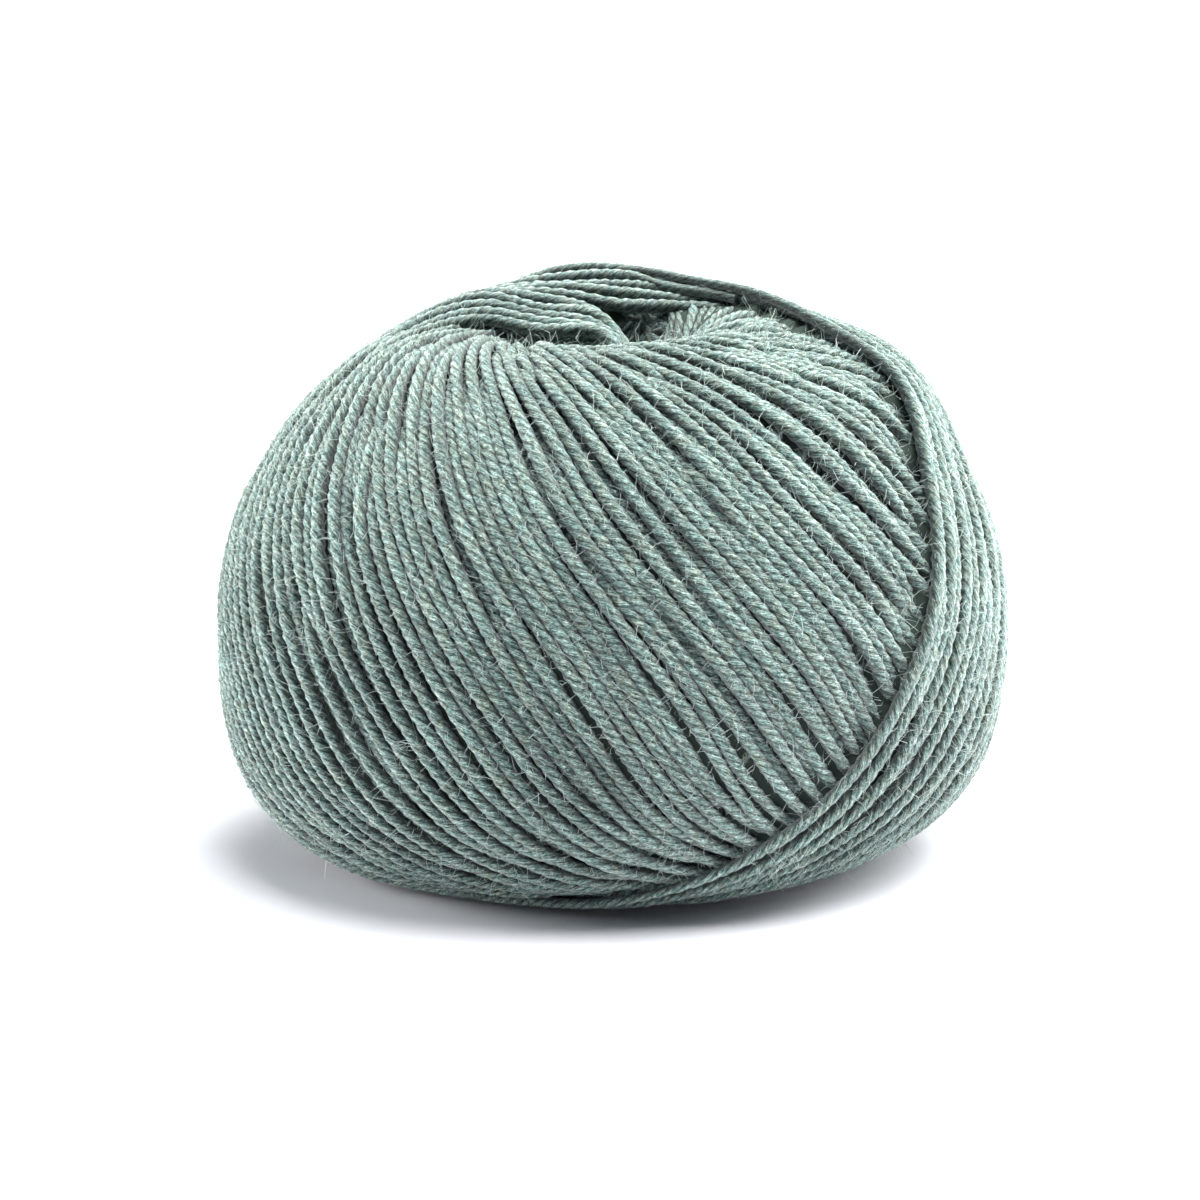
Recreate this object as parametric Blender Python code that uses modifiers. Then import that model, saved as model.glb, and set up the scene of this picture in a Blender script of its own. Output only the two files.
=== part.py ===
"""Ball of plied wool yarn, wound on a spindle: one solid of its wound form, centre hole and main twists."""

import math

import bpy
import numpy as np

# Outer form before the turns are raised, in metres, measured from the ball's widest level
RADIUS = 0.0385
CROWN_HEIGHT = 0.0352
CROWN_FULLNESS = 1.87  # exponent of the upper curve: 2 is an ellipse, more is squarer
BASE_DEPTH = 0.0248
BASE_FULLNESS = 3.4
SPINDLE_TILT = math.radians(-1.7)  # the spindle's axis leans a little to the left
FLAT_DEPTH = 0.0236  # widest level down to the flat spot that the ball rests on

# Winding: each turn lies in a plane that leans from the spindle and moves round it
TURN_LEAN = math.radians(30.4)
TURN_CENTRE = 0.0120  # where the turns' planes cross the spindle's axis, above the widest level
LAST_TURN = math.radians(-122)  # direction that the last turn's plane faces
LAYER_STEP = 0.0016  # height of the newest turns over the oldest ones in sight
UNDER_TURN = 0.85  # slope past which the turns bend in under the ball
UNDER_BEND = 0.23  # how slowly they reach their innermost points there

# Main twists: each ridge is a group of turns that lie side by side
RIDGES = 48  # in one full round of the winding
RIDGE_HEIGHT = 0.0009
RIDGE_ROUNDNESS = 0.75  # below 1 gives broad crests and narrow grooves
RIDGE_WANDER = 0.02  # how far a ridge strays from its even place, in radians of facing
RIDGE_UNEVENNESS = 0.3  # share of its height by which a ridge differs from the next
CLOSEST_RIDGES = 0.0013  # ridges nearer than this to each other run together
CLEAR_RIDGES = 0.0034  # ridges this far apart have their full height

# Centre hole that the spindle leaves
HOLE_FLOOR = 0.0185  # above the widest level
HOLE_FLOOR_BLEND = 0.004
RIM_BLEND = 0.0024
HOLE_MOUTH = 0.015  # radius inside which the hole's own turns run
HOLE_RIDGE_PITCH = 0.0036
HOLE_RIDGE_STARTS = 3
HOLE_RIDGE_HEIGHT = 0.0006

# Fineness of the first surface, and of the finished solid
PROFILE_STEP = 0.0007
ROUND_STEPS = 360
SOLID_TRIANGLES = 9600

YARN_COLOUR = (0.262, 0.340, 0.318, 1.0)
YARN_ROUGHNESS = 0.92


def clear_scene():
    for thing in list(bpy.data.objects):
        bpy.data.objects.remove(thing, do_unlink=True)


def smooth_step(x):
    x = np.clip(x, 0.0, 1.0)
    return x * x * (3.0 - 2.0 * x)


def smooth_min(a, b, width):
    closeness = np.maximum(width - np.abs(a - b), 0.0) / width
    return np.minimum(a, b) - closeness**2 * width / 4.0


def crown_curve(radius):
    """Height of the ball's upper curve over the widest level."""
    return CROWN_HEIGHT * (1.0 - (radius / RADIUS) ** CROWN_FULLNESS) ** (1.0 / CROWN_FULLNESS)


def hole_cone(radius):
    """The innermost points of all turns lie on this cone, which the spindle leaves open."""
    return TURN_CENTRE + radius / math.tan(TURN_LEAN)


def top_height(radius):
    """The crown with its hole: the lower of curve and cone, rounded where they meet."""
    top = smooth_min(crown_curve(radius), hole_cone(radius), RIM_BLEND)
    return -smooth_min(-top, -HOLE_FLOOR, HOLE_FLOOR_BLEND)


def profile_points():
    """(radius, height) pairs from the hole's floor over the rim and down the flank to the base."""
    shoulder = 0.7 * RADIUS
    top = [(r, top_height(r)) for r in np.arange(0.0, shoulder, PROFILE_STEP)]
    start = math.asin((crown_curve(shoulder) / CROWN_HEIGHT) ** (CROWN_FULLNESS / 2.0))
    steps = round((start + math.pi / 2.0) * RADIUS / PROFILE_STEP)
    flank = []
    for angle in np.linspace(start, -math.pi / 2.0, steps):
        above = angle >= 0.0
        fullness = CROWN_FULLNESS if above else BASE_FULLNESS
        height = CROWN_HEIGHT if above else -BASE_DEPTH
        radius = RADIUS * max(math.cos(angle), 0.0) ** (2.0 / fullness)
        flank.append((radius, height * abs(math.sin(angle)) ** (2.0 / fullness)))
    flank[-1] = (0.0, -BASE_DEPTH)
    return top + flank


def turned_form(collection):
    """The plain form: its profile, turned round the spindle's axis by a Screw."""
    points = profile_points()
    mesh = bpy.data.meshes.new("ball_profile")
    mesh.from_pydata(
        [(r, 0.0, z) for r, z in points],
        [(i, i + 1) for i in range(len(points) - 1)],
        [],
    )
    form = bpy.data.objects.new("ball_profile", mesh)
    collection.objects.link(form)
    screw = form.modifiers.new("turn", "SCREW")
    screw.steps = ROUND_STEPS
    screw.render_steps = ROUND_STEPS
    screw.use_merge_vertices = True
    screw.merge_threshold = 0.00001
    return form


def turn_facing(points):
    """For each point, the directions that its falling and its rising turn face, and the gap between ridges.

    A turn's plane faces direction f where cos(angle - f) is the slope below. A falling turn runs down
    to the right and a rising one down to the left, seen from outside.
    """
    radius = np.maximum(np.hypot(points[:, 0], points[:, 1]), 1e-6)
    angle = np.arctan2(points[:, 1], points[:, 0])
    slope = (TURN_CENTRE - points[:, 2]) / radius * math.tan(TURN_LEAN)
    slope = np.where(slope > UNDER_TURN, UNDER_TURN + (slope - UNDER_TURN) * UNDER_BEND, slope)
    reach = np.arccos(np.clip(slope, -1.0, 1.0))
    return angle + reach, angle - reach, radius * np.sin(reach) * 2.0 * math.pi / RIDGES


def clearness(gap):
    """How far ridges this far apart stand clear of each other, from 0 to 1."""
    return smooth_step((gap - CLOSEST_RIDGES) / (CLEAR_RIDGES - CLOSEST_RIDGES))


def ridge_crest(age, ridges):
    """The ridges' cross-section, 0 in a groove and 1 on a crest, with each one a little out of place."""
    place = age + RIDGE_WANDER * np.sin(9.0 * age) * np.sin(4.0 * age)
    return np.abs(np.sin(place * ridges / 2.0)) ** RIDGE_ROUNDNESS


def turn_relief(points):
    """Height that the turns add at each point: the newest turns on top, in ridges that follow them."""
    falling, rising, ridge_gap = turn_facing(points)
    full_round = 2.0 * math.pi
    falling_age = np.mod(falling - LAST_TURN, full_round)
    rising_age = np.mod(rising - LAST_TURN, full_round)
    age = np.minimum(falling_age, rising_age)
    covered = full_round - np.maximum(falling_age, rising_age)
    half_ridge = math.pi / RIDGES
    rise = smooth_step(age / half_ridge)
    edge = rise * smooth_step(covered / half_ridge)
    height = RIDGE_HEIGHT * (1.0 + RIDGE_UNEVENNESS * np.sin(17.0 * age + 1.0) * np.sin(7.0 * age))
    single = clearness(ridge_gap)
    paired = clearness(2.0 * ridge_gap)
    crest = single * ridge_crest(age, RIDGES) + (1.0 - single) * ridge_crest(age, RIDGES // 2)
    layer = LAYER_STEP * ((0.5 - age / math.pi) * rise - 0.5 * (1.0 - rise))
    return (layer + height * (crest * edge - 0.6)) * paired


def hole_relief(points):
    """Turns that show on the hole's wall, where they pass nearly level round the spindle."""
    radius = np.hypot(points[:, 0], points[:, 1])
    angle = np.arctan2(points[:, 1], points[:, 0])
    depth = top_height(HOLE_MOUTH) - points[:, 2]
    inside = (radius < HOLE_MOUTH) * smooth_step(depth / RIM_BLEND)
    inside = inside * smooth_step((points[:, 2] - HOLE_FLOOR) / HOLE_FLOOR_BLEND)
    crest = np.cos(2.0 * math.pi * depth / HOLE_RIDGE_PITCH + HOLE_RIDGE_STARTS * angle)
    return 0.5 * HOLE_RIDGE_HEIGHT * crest * inside * (points[:, 2] > 0.0)


def raise_turns(mesh):
    """Moves each point out along its normal by the height of the turns there."""
    count = len(mesh.vertices)
    points = np.empty(count * 3)
    normals = np.empty(count * 3)
    mesh.vertices.foreach_get("co", points)
    mesh.vertex_normals.foreach_get("vector", normals)
    points = points.reshape(-1, 3)
    lift = turn_relief(points) + hole_relief(points)
    points = points + normals.reshape(-1, 3) * lift[:, None]
    mesh.vertices.foreach_set("co", points.ravel())


def seat_on_flat(mesh):
    """Leans the ball with its spindle, and presses its underside flat where it rests, at height 0."""
    count = len(mesh.vertices)
    points = np.empty(count * 3)
    mesh.vertices.foreach_get("co", points)
    x, y, z = points.reshape(-1, 3).T
    cosine = math.cos(SPINDLE_TILT)
    sine = math.sin(SPINDLE_TILT)
    leaned_x = cosine * x + sine * z
    leaned_z = np.maximum(cosine * z - sine * x + FLAT_DEPTH, 0.0)
    mesh.vertices.foreach_set("co", np.column_stack([leaned_x, y, leaned_z]).ravel())


def yarn_material():
    wool = bpy.data.materials.new("plied_wool_sage_melange")
    wool.use_nodes = True
    shader = wool.node_tree.nodes["Principled BSDF"]
    shader.inputs["Base Color"].default_value = YARN_COLOUR
    shader.inputs["Roughness"].default_value = YARN_ROUGHNESS
    shader.inputs["Metallic"].default_value = 0.0
    return wool


def finished_mesh(form):
    """The form's mesh with its modifiers worked out, and the form itself removed."""
    graph = bpy.context.evaluated_depsgraph_get()
    mesh = bpy.data.meshes.new_from_object(form.evaluated_get(graph))
    bpy.data.objects.remove(form, do_unlink=True)
    return mesh


def thinned_form(collection, mesh):
    """The same form with few triangles, which run along the ridges."""
    form = bpy.data.objects.new("ball_thinned", mesh)
    collection.objects.link(form)
    triangles = sum(len(face.vertices) - 2 for face in mesh.polygons)
    thin = form.modifiers.new("thin", "DECIMATE")
    thin.ratio = SOLID_TRIANGLES / triangles
    return form


def wound_ball(collection):
    """The one solid: turned, given its turns, thinned, leaned and seated."""
    mesh = finished_mesh(turned_form(collection))
    raise_turns(mesh)
    mesh = finished_mesh(thinned_form(collection, mesh))
    seat_on_flat(mesh)
    mesh.name = "wound_ball"
    mesh.shade_smooth()
    mesh.materials.clear()
    mesh.materials.append(yarn_material())
    ball = bpy.data.objects.new("wound_ball", mesh)
    collection.objects.link(ball)
    return ball


def main():
    clear_scene()
    collection = bpy.data.collections.new("ball_of_yarn")
    bpy.context.scene.collection.children.link(collection)
    wound_ball(collection)


main()
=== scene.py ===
"""Ball of plied wool yarn: the looks of every turn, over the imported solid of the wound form."""

import math

import bpy
import numpy as np
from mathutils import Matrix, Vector


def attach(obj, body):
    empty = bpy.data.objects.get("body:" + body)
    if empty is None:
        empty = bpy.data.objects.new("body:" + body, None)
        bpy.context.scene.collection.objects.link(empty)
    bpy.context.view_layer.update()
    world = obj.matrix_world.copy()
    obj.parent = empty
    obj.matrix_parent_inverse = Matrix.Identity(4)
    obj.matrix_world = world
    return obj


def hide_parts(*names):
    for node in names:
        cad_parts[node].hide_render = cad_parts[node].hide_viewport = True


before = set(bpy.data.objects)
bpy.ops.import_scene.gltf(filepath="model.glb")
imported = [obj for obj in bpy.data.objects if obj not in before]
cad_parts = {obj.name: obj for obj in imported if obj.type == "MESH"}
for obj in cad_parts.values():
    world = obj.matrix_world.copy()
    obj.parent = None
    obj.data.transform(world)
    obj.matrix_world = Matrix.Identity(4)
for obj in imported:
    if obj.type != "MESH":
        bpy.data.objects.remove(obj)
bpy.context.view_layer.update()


# ---------------------------------------------------------------------------
# The winding: one long wool yarn, laid turn upon turn round a spindle, which leaves a hole when it comes out.
# Each turn lies in a plane that leans from the spindle, and the next one faces a little further round. The
# newest turns lie on the older ones.

# The ball's outline, over and under its widest level
WIDEST_LEVEL = 0.0236  # over the floor
WIDEST_RADIUS = 0.0384
CROWN = {"height": 0.0342, "fullness": 1.905}  # a fullness of 2 is an ellipse, and more is squarer
BASE = {"height": -0.0259, "fullness": 3.29}
OUTLINE_STEPS = 400
SPINDLE_TILT = math.radians(-1.7)  # the spindle leans a little to the left
TURN_LEAN = math.radians(30.4)
TURN_CENTRE = 0.0120  # where the turns' planes cross the spindle's axis, over the widest level


def form_table():
    """Polar angle and distance of the outline's points, seen from where the turns' planes cross."""
    quarter = np.linspace(0.0, math.pi / 2.0, OUTLINE_STEPS)
    rows = []
    for part, bend in ((CROWN, quarter), (BASE, quarter[::-1])):
        radius = WIDEST_RADIUS * np.sin(bend) ** (2.0 / part["fullness"])
        height = part["height"] * np.cos(bend) ** (2.0 / part["fullness"])
        rows.append(np.column_stack([radius, height - TURN_CENTRE]))
    outline = np.vstack(rows)
    return np.arctan2(outline[:, 0], outline[:, 1]), np.hypot(outline[:, 0], outline[:, 1])


FORM_ANGLES, FORM_REACH = form_table()


def tilted(points):
    """Points leaned with the spindle, about the middle of the widest level."""
    cosine, sine = math.cos(SPINDLE_TILT), math.sin(SPINDLE_TILT)
    x, y, z = points[..., 0], points[..., 1], points[..., 2]
    return np.stack([cosine * x + sine * z, y, cosine * z - sine * x], axis=-1)


def smooth_step(x):
    x = np.clip(x, 0.0, 1.0)
    return x * x * (3.0 - 2.0 * x)


def smooth_min(a, b, width):
    closeness = np.maximum(width - np.abs(a - b), 0.0) / width
    return np.minimum(a, b) - closeness**2 * width / 4.0


# The hole, and the crown's dip towards it
RIM_DROP = 0.0044
RIM_DROP_ANGLE = math.radians(5.5)  # how far from the rim the dip reaches
FRONT_DROP = 0.92  # share by which the dip is more in front, and less behind
HOLE_DEPTH = 0.013
HOLE_WALL_ANGLE = math.radians(5)
DEEPEST_DROP = 0.0155


def hole_drop(ways):
    """How far the surface dips towards the hole, most of all in front, and down the hole's wall."""
    polar = np.arccos(np.clip(ways[..., 2], -1.0, 1.0))
    front = -ways[..., 1] / np.maximum(np.hypot(ways[..., 0], ways[..., 1]), 1e-6)
    fade = np.exp(-np.maximum(polar - TURN_LEAN, 0.0) / RIM_DROP_ANGLE)
    dip = RIM_DROP * (1.0 + FRONT_DROP * front) * fade
    return np.minimum(dip + HOLE_DEPTH * smooth_step((TURN_LEAN - polar) / HOLE_WALL_ANGLE), DEEPEST_DROP)


# Where the ball is fuller or flatter than a round form: height, polar angle, its spread, and the side
SWELLS = (
    (0.0023, math.radians(70), math.radians(12), math.radians(0)),
    (0.0008, math.radians(108), math.radians(25), math.radians(0)),
    (-0.0020, math.radians(38), math.radians(13), math.radians(165)),
)
SWELL_FADE = 1.5  # higher keeps a swell closer to its side
FLAT_LEVEL = 0.00125  # of the mean surface over the floor, where the ball rests
FLAT_BLEND = 0.0015
DOWNWARD = 0.2  # slope past which a direction can meet the floor


def form_reach(ways):
    """How far the ball's mean surface lies in each direction: crown, hole's rim and flat spot."""
    polar = np.arccos(np.clip(ways[..., 2], -1.0, 1.0))
    lon = np.arctan2(ways[..., 1], ways[..., 0])
    reach = np.interp(polar, FORM_ANGLES, FORM_REACH) - hole_drop(ways)
    for height, level, spread, side in SWELLS:
        near_side = np.maximum(np.cos(lon - side), 0.0) ** SWELL_FADE
        reach = reach + height * np.exp(-(((polar - level) / spread) ** 2)) * near_side
    down = -tilted(ways)[..., 2]
    centre = tilted(np.array([0.0, 0.0, TURN_CENTRE]))[2] + WIDEST_LEVEL
    floor = np.where(down > DOWNWARD, (centre - FLAT_LEVEL) / np.maximum(down, DOWNWARD), 1.0)
    return smooth_min(reach, floor, FLAT_BLEND)


def placed(ways, heights):
    """Points in the part's frame, at these heights over the mean surface."""
    points = ways * (form_reach(ways) + heights)[..., None]
    points[..., 2] += TURN_CENTRE
    points = tilted(points)
    points[..., 2] += WIDEST_LEVEL
    return points


TURNS = 330
TURNS_IN_ROUND = 148  # of the facing, back to where it began
STEPS_IN_TURN = 960
LAST_TURN = math.radians(-119)  # the direction that the last turn's plane faces

chance = np.random.default_rng(7)
around = np.linspace(0.0, 2.0 * math.pi, STEPS_IN_TURN, endpoint=False)


def wander(harmonics, keeps):
    """Smooth strays of every turn, each like the one before it."""
    strays = np.zeros((TURNS, harmonics, 2))
    state = chance.normal(size=(harmonics, 2))
    for turn in range(TURNS):
        state = keeps * state + math.sqrt(1.0 - keeps**2) * chance.normal(size=(harmonics, 2))
        strays[turn] = state
    return strays


shared_strays = wander(harmonics=7, keeps=0.982)
own_strays = wander(harmonics=12, keeps=0.2)
end_strays = wander(harmonics=2, keeps=0.8)[:, :, 0]
spacing = wander(harmonics=2, keeps=0.3)[:, :, 0]

SHARED_STRAY = 0.00042  # sideways, of turns that lie side by side
OWN_STRAY = 0.00008
STRAY_FADE = 0.55  # higher takes the strays of short waves away
SPACING_STRAY = 0.13  # share of the step from one turn to the next
MEAN_REACH = 0.038
RIM_HOLD = 0.7  # share of the strays that is lost at the rim
# How far a turn is shifted off its plane at its top and bottom, and how much that strays, in degrees
TOP_SHIFT = 0.8
TOP_STRAY = 1.3
BOTTOM_SHIFT = 3.5
BOTTOM_STRAY = 2.0
NEWEST_SHIFT = 9.0  # more at the newest turn's bottom
NEWEST_FADE = 14.0  # turns over which that fades
OLDEST_SHIFT = 18.5  # less at the bottom for each round of turns past the start
OLDEST_START = 0.7


def turn_path(turn):
    """Directions of one turn's points, seen from the point where the turns' planes cross."""
    step = 2.0 * math.pi / TURNS_IN_ROUND
    facing = LAST_TURN + turn * step + SPACING_STRAY * step * spacing[turn, 0]
    top = math.radians(TOP_SHIFT + TOP_STRAY * end_strays[turn, 0])
    newest = NEWEST_SHIFT * math.exp(-turn / NEWEST_FADE)
    oldest = OLDEST_SHIFT * max(turn / TURNS_IN_ROUND - OLDEST_START, 0.0)
    bottom = math.radians(BOTTOM_SHIFT + newest + BOTTOM_STRAY * end_strays[turn, 1] - oldest)
    cosine, sine = math.cos(facing), math.sin(facing)
    down = np.array([cosine * math.sin(TURN_LEAN), sine * math.sin(TURN_LEAN), -math.cos(TURN_LEAN)])
    side = np.array([-sine, cosine, 0.0])
    across = np.array([cosine * math.cos(TURN_LEAN), sine * math.cos(TURN_LEAN), math.sin(TURN_LEAN)])
    ways = np.cos(around)[:, None] * down + np.sin(around)[:, None] * side
    stray = np.zeros(STEPS_IN_TURN)
    for waves, size, first in ((shared_strays[turn], SHARED_STRAY, 1), (own_strays[turn], OWN_STRAY, 3)):
        for number, (left, right) in enumerate(waves, start=first):
            wave = left * np.cos(number * around) + right * np.sin(number * around)
            stray += size * wave / number**STRAY_FADE
    near_top = ((1.0 - np.cos(around)) / 2.0) ** 4
    near_bottom = ((1.0 + np.cos(around)) / 2.0) ** 4
    shift = stray / MEAN_REACH * (1.0 - RIM_HOLD * near_top) - top * near_top + bottom * near_bottom
    ways = ways + shift[:, None] * across
    return ways / np.linalg.norm(ways, axis=1)[:, None]


# A field of cells over all directions, which holds what is laid so far
CELL = math.radians(0.5)
FIELD_SHAPE = (361, 720)
OPEN_ABOVE = 1.0
NOTHING_LAID = -1.0


def field_cells(ways):
    polar = np.arccos(np.clip(ways[..., 2], -1.0, 1.0))
    lon = np.arctan2(ways[..., 1], ways[..., 0])
    return np.round(polar / CELL).astype(int), np.round(lon / CELL).astype(int) % FIELD_SHAPE[1]


# Places across the yarn's width, from its left edge to its right, and how high its round back is there
OFFSETS = np.linspace(-1.0, 1.0, 13)
ROUNDNESS = np.sqrt(1.0 - (0.999 * OFFSETS) ** 2)


def beside(ways, half_width):
    """Directions across the yarn's width at each point, from its left edge to its right."""
    ahead = np.roll(ways, -1, axis=0) - np.roll(ways, 1, axis=0)
    across = np.cross(ways, ahead)
    across /= np.linalg.norm(across, axis=1)[:, None]
    spans = np.outer(half_width / form_reach(ways), OFFSETS)
    spread = ways[:, None] + across[:, None] * spans[:, :, None]
    return spread / np.linalg.norm(spread, axis=2)[:, :, None]


def loop_blur(values, width):
    """Values round a loop, blurred over this many steps."""
    waves = np.fft.rfftfreq(len(values)) * 2.0 * math.pi
    return np.fft.irfft(np.fft.rfft(values) * np.exp(-0.5 * (waves * width) ** 2), len(values))


YARN_RADIUS = 0.00076
END_GIRTH = 0.42  # share of the yarn's thickness at a turn's top and bottom, where turns crowd
SIDE_GIRTH = 0.58  # what it gains from there to the turn's sides
SQUEEZED = 0.70  # the least share
CREST_OVER_FORM = 0.00035
LAYER_STEP = 0.0016  # by which each half round of turns lies below the one over it
OLDEST_LAYER = 4.5  # half rounds after which older turns lie no lower
UNDER_LAYERS = 3.7  # fewer of them on the ball's underside
UNDER_WAY = 0.83  # how steeply down a direction points where the underside begins
UNDER_BLEND = 0.08
BEARING_WIDTH = 0.94  # share of the yarn's width that presses on what lies beneath
UNDER_STEP = 0.0012  # from a turn down to one that passes beneath it
MOST_COVER = 0.45  # share of its width that others may cover before a turn passes beneath them
SIDE_SINK = 0.0007  # that a turn sinks beside others, at most
SUNK = 0.0009  # below its layer, past which a turn holds nothing down


def lay_turns():
    """Works from the newest turn back: each older one sinks beside those on it, or passes beneath them."""
    roof = np.full(FIELD_SHAPE, OPEN_ABOVE)
    top = np.full(FIELD_SHAPE, NOTHING_LAID)
    ways = np.zeros((TURNS, STEPS_IN_TURN, 3))
    heights = np.zeros((TURNS, STEPS_IN_TURN))
    girths = np.zeros((TURNS, STEPS_IN_TURN))
    for turn in range(TURNS):
        ways[turn] = turn_path(turn)
        room = np.abs(np.sin(around))
        girths[turn] = YARN_RADIUS * np.maximum(END_GIRTH + SIDE_GIRTH * room, SQUEEZED)
        beneath_ball = smooth_step((-ways[turn][:, 2] - UNDER_WAY) / UNDER_BLEND)
        layer = np.minimum(2.0 * turn / TURNS_IN_ROUND, OLDEST_LAYER - UNDER_LAYERS * beneath_ball)
        level = CREST_OVER_FORM - YARN_RADIUS + LAYER_STEP * (0.5 - layer)
        cells = field_cells(beside(ways[turn], BEARING_WIDTH * girths[turn]))
        over = roof[cells]
        cover = loop_blur(np.mean(over < level[:, None] + UNDER_STEP, axis=1), 5.0)
        beneath = np.maximum(level - np.min(over, axis=1) + UNDER_STEP, 0.0)
        share = np.clip(cover, 0.0, 1.0) / MOST_COVER
        sink = np.where(share > 1.0, beneath, np.minimum(SIDE_SINK * share**1.5, beneath))
        wanted = level - np.max([np.roll(sink, step) for step in range(-6, 7, 2)], axis=0)
        heights[turn] = loop_blur(wanted, 11.0)
        held = heights[turn] > level - SUNK
        np.minimum.at(roof, (cells[0][held], cells[1][held]), heights[turn][held, None])
        wide = field_cells(beside(ways[turn], girths[turn]))
        np.maximum.at(top, wide, heights[turn][:, None] + girths[turn][:, None] * ROUNDNESS)
    return ways, heights, girths, top


turn_ways, turn_heights, turn_girths, top_field = lay_turns()


def loop_any(mask, reach):
    return np.any([np.roll(mask, step) for step in range(-reach, reach + 1)], axis=0)


def runs(mask):
    """(start, length) of each run of true values round a loop."""
    if mask.all():
        return [(0, len(mask) + 1)]
    starts = np.flatnonzero(mask & ~np.roll(mask, 1))
    ends = np.flatnonzero(mask & ~np.roll(mask, -1))
    if len(starts) and ends[0] < starts[0]:
        ends = np.append(ends[1:], ends[0] + len(mask))
    return list(zip(starts, ends - starts + 1))


SEEN_WIDTH = 0.9  # share of the yarn's width that is looked at
COVERED = 0.00018  # what lies over a point by more than this hides it
LEAST_AT_HOLE = 0.03
SHORTEST_STRETCH = 12


def stretches_in_sight(least, most, spare, down_hole=False):
    """The stretches of turns with such a share of their width in sight, and a little more at each end."""
    found = []
    for turn in range(TURNS):
        ways, heights, girths = turn_ways[turn], turn_heights[turn], turn_girths[turn]
        above = top_field[field_cells(beside(ways, SEEN_WIDTH * girths))]
        back = heights[:, None] + girths[:, None] * np.sqrt(1.0 - (SEEN_WIDTH * OFFSETS) ** 2)
        share = loop_blur(np.mean(above - back < COVERED, axis=1), 3.0)
        mask = loop_any((share > least) & (share <= most), spare)
        if down_hole:
            at_hole = ways[:, 2] > math.cos(TURN_LEAN + HOLE_WALL_ANGLE)
            mask = mask | loop_any((share > LEAST_AT_HOLE) & at_hole, 3 * spare)
        for start, length in runs(mask):
            if length < SHORTEST_STRETCH:
                continue
            places = np.arange(start, start + length) % STEPS_IN_TURN
            points = placed(ways[places], heights[places])
            found.append({"turn": turn, "start": start, "points": points, "girths": girths[places]})
    return found


shown_stretches = stretches_in_sight(least=0.16, most=2.0, spare=10, down_hole=True)
lower_stretches = stretches_in_sight(least=0.012, most=0.16, spare=8)


# ---------------------------------------------------------------------------
# The turns at the hole: a few turns slipped off the rim on the left and lie across the hole's mouth, others
# cross the back of it, and the innermost ones run nearly level round the spindle's place. Only friction on
# the turns that they lie on holds them.

# Paths in millimetres over the widest level, of the slipped turn in front and the last one behind it. They
# lie on the crown, cross the mouth and end up under the near rim.
MILLIMETRE = 0.001
SLIPPED_TURNS = 5
SLIPPED_FIRST = (
    (-35, -12, 7),
    (-33.2, -9, 13),
    (-29.3, -4, 20),
    (-21, 0.8, 26.6),
    (-11.5, 0.4, 29.5),
    (-6.2, -0.8, 28.5),
    (0.4, -2.4, 27.9),
    (3, -5, 23),
    (4, -7, 16),
)
SLIPPED_LAST = (
    (-35.8, -6, 8),
    (-33.2, -2.5, 14),
    (-28.5, 2.5, 20.8),
    (-20.3, 6.2, 27.2),
    (-11, 5.8, 31),
    (-6, 4.2, 30.6),
    (-0.5, 2.0, 29.5),
    (3.5, -1.0, 25),
    (5.5, -4, 17),
)
# The same for the turns that cross the back of the mouth, from the lowest on its wall to the highest
BACK_TURNS = 5
BACK_LOWEST = (
    (-36, -4, 8),
    (-33.2, 0, 14.5),
    (-28, 5, 21),
    (-19.5, 8.5, 27),
    (-10, 7.8, 30.6),
    (-3, 6.8, 30.3),
    (2, 6.4, 29.8),
    (7, 6.7, 29.3),
    (12.5, 6.4, 28.4),
    (18, 3, 22),
)
BACK_HIGHEST = (
    (-36.4, 3, 8),
    (-32, 8, 15.5),
    (-26.5, 11.5, 20.6),
    (-19, 13, 26),
    (-10, 12.8, 30),
    (-3.6, 13.2, 32.2),
    (2, 13.2, 32),
    (8, 12.8, 30.6),
    (15, 11, 29),
    (23, 5, 22),
)
LOOSE_GIRTH = 0.96  # share of the yarn's thickness
LOOSE_STRAY = 0.00022
LOOSE_LAYERS = 2
LOOSE_LAYER_SHIFT = (0.0, 0.0010, -0.0012)
LOOSE_STEP = 0.0005


def flowing(points):
    """A smooth curve through these points, in even steps."""
    points = np.asarray(points, dtype=float)
    knots = np.concatenate([[0.0], np.cumsum(np.linalg.norm(np.diff(points, axis=0), axis=1))])
    slopes = np.gradient(points, knots, axis=0)
    places = np.arange(0.0, knots[-1], LOOSE_STEP)
    span = np.clip(np.searchsorted(knots, places, side="right") - 1, 0, len(knots) - 2)
    width = (knots[span + 1] - knots[span])[:, None]
    part = (places - knots[span])[:, None] / width
    return (
        (2 * part**3 - 3 * part**2 + 1) * points[span]
        + (part**3 - 2 * part**2 + part) * width * slopes[span]
        + (3 * part**2 - 2 * part**3) * points[span + 1]
        + (part**3 - part**2) * width * slopes[span + 1]
    )


def loose_stretch(number, points):
    """A stretch that is drawn like a turn in sight, along a path over the widest level."""
    points = tilted(flowing(points)) + np.array([0.0, 0.0, WIDEST_LEVEL])
    girths = np.full(len(points), LOOSE_GIRTH * YARN_RADIUS)
    return {"turn": TURNS + number, "start": 0, "points": points, "girths": girths}


def turns_side_by_side(first, last, count):
    """Turns from one path to another, and below them a layer that fills the gaps."""
    found = []
    for layer in range(LOOSE_LAYERS):
        for number in range(count - layer % 2):
            share = (number + 0.5 * (layer % 2)) / (count - 1)
            points = (1.0 - share) * np.array(first) + share * np.array(last)
            points = MILLIMETRE * points + LOOSE_STRAY * chance.normal(size=points.shape)
            points += np.array(LOOSE_LAYER_SHIFT) * layer
            found.append(loose_stretch(count * layer + number, points))
    return found


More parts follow.
